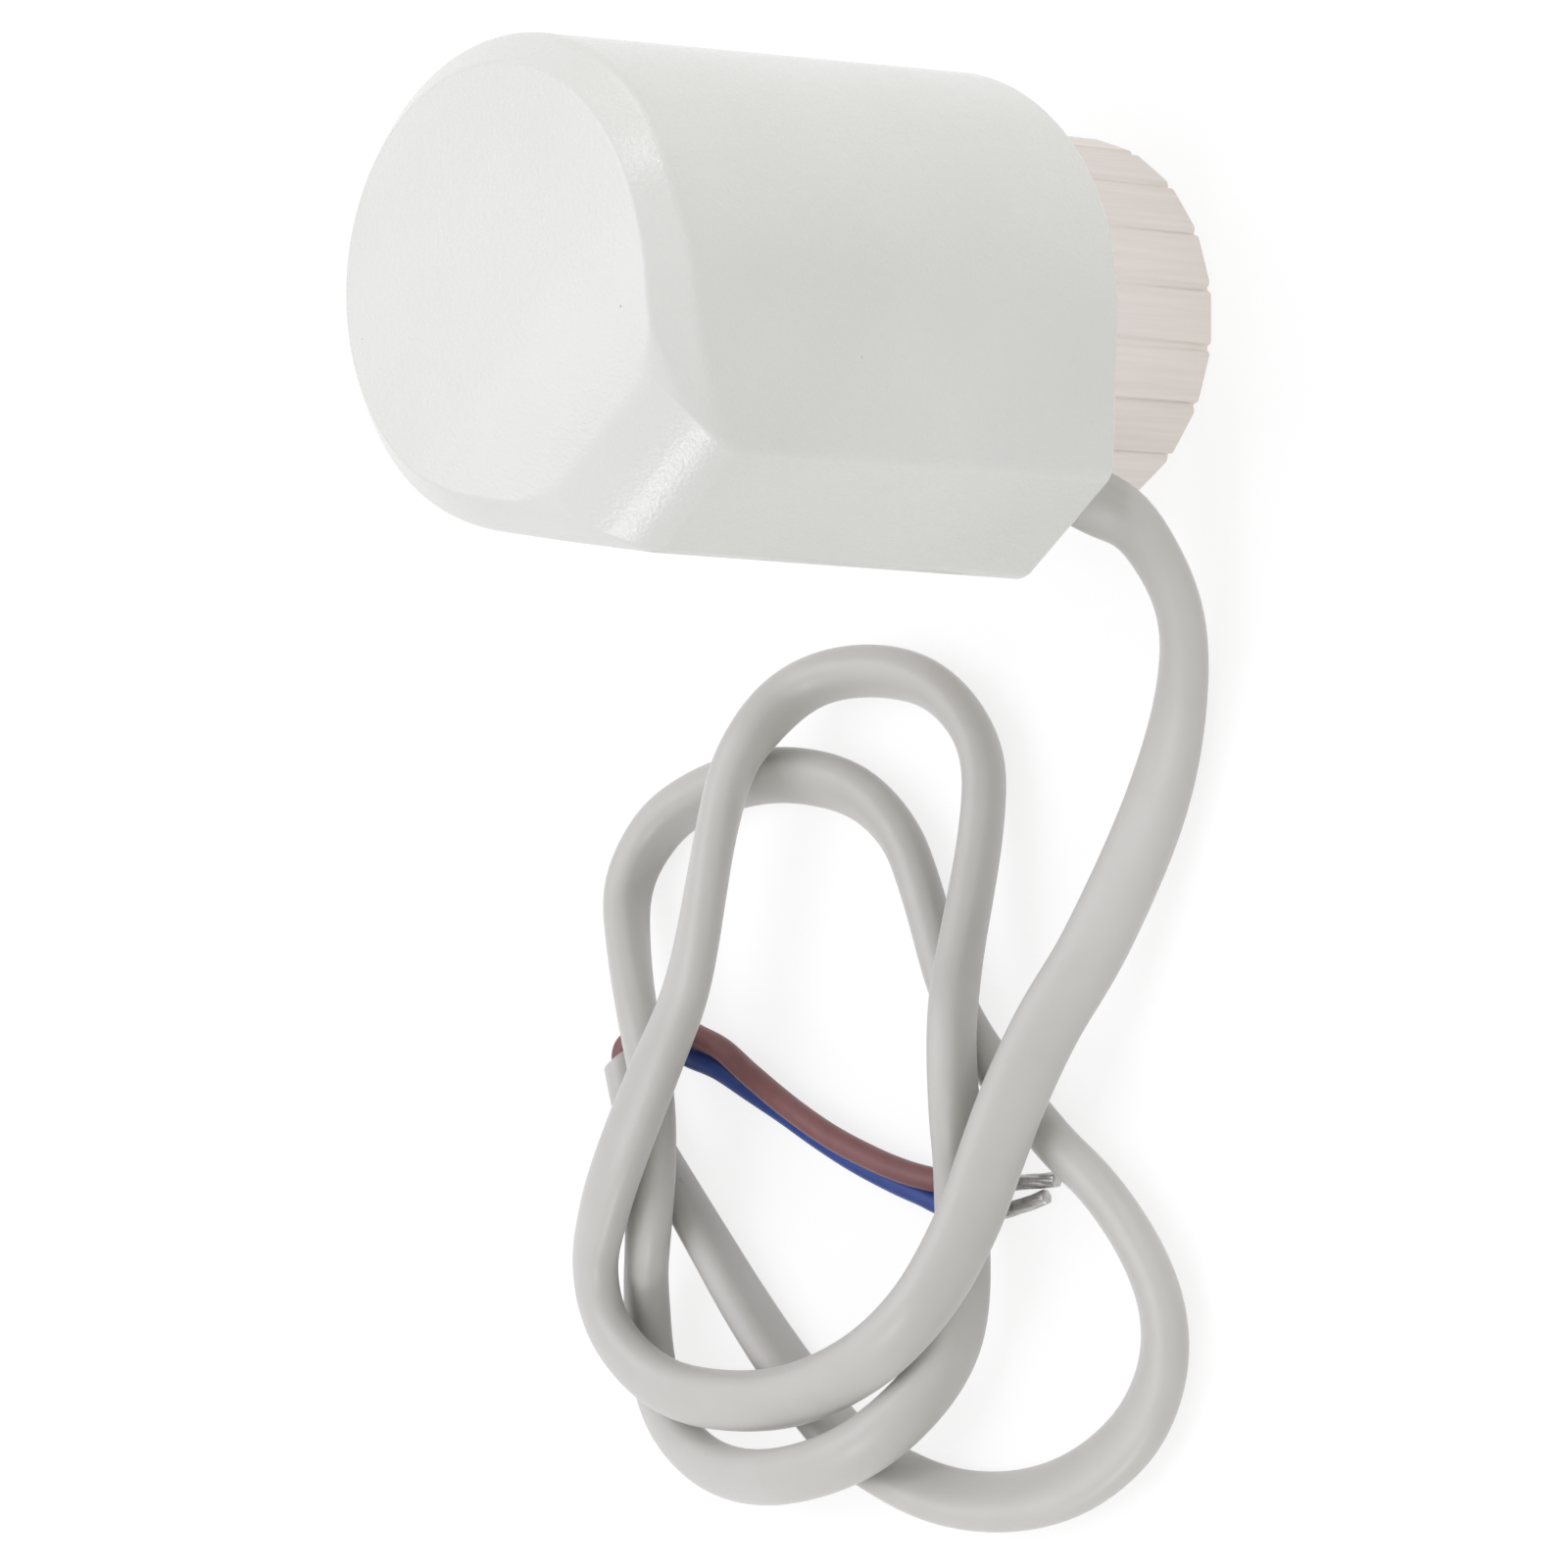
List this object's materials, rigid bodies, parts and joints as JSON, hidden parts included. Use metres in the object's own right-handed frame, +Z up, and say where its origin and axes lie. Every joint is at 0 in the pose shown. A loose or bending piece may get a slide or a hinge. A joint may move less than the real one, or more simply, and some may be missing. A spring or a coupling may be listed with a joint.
{
  "type": "thermoelectric valve actuator head",
  "caption": "Plastic actuator head with a round, flat-nosed casing, a grooved union nut below, a plunger lifted by a heated wax capsule, and a loose flat twin cable with bared cores.",
  "frame": {"origin": "on the union nut's axis, in the plane of its lower rim, which the head stands on", "axes": "+Z up the nut's axis towards the head's flat top; the cable nose points along -X-Y, and the cable lies towards -X"},
  "size_m": [0.1345, 0.0784, 0.072],
  "materials": {
    "casing_plastic": "white-grey moulded plastic with a fine grain",
    "inner_plastic": "grey glass-filled plastic",
    "seal_rubber": "black rubber",
    "plated_nut": "satin nickel-plated brass, turned",
    "spring_steel": "drawn and stamped steel",
    "capsule_brass": "bare brass",
    "wax": "set wax",
    "heater_ceramic": "dark fired ceramic",
    "tinned_copper": "tinned copper",
    "cable_jacket": "warm grey soft plastic jacket",
    "brown_insulation": "brown core insulation",
    "blue_insulation": "blue core insulation"
  },
  "bodies": {
    "housing": {"housing_cover": "casing_plastic", "base_plate": "casing_plastic", "cover_gasket": "seal_rubber", "nut_retaining_ring": "spring_steel", "plunger_bush": "inner_plastic", "plunger_seal": "seal_rubber", "support_bridge": "spring_steel", "wax_piston": "spring_steel", "closing_spring": "spring_steel", "spring_seat": "inner_plastic", "cable_grommet": "seal_rubber", "cable_grip": "capsule_brass", "live_lead": "brown_insulation", "neutral_lead": "blue_insulation", "cable": "cable_jacket", "brown_core": "brown_insulation", "blue_core": "blue_insulation", "brown_wire_end": "tinned_copper", "blue_wire_end": "tinned_copper"},
    "nut": {"union_nut": "plated_nut"},
    "plunger": {"plunger_stem": "inner_plastic", "stem_clip": "spring_steel", "lifting_cage": "inner_plastic", "piston_guide": "capsule_brass", "wax_capsule": "capsule_brass", "wax_diaphragm": "seal_rubber", "wax_charge": "wax", "lower_contact": "tinned_copper", "ptc_heater": "heater_ceramic", "upper_contact": "tinned_copper", "heater_cap": "inner_plastic"}
  },
  "joints": [
    {"name": "nut_turn", "type": "hinge", "parent": "housing", "child": "nut", "pos_m": [0, 0, 0], "axis": [0, 0, 1], "continuous": true},
    {"name": "plunger_lift", "type": "slide", "parent": "housing", "child": "plunger", "axis": [0, 0, 1], "range_m": [0, 0.004], "deforming": ["closing_spring", "live_lead", "neutral_lead"]}
  ]
}
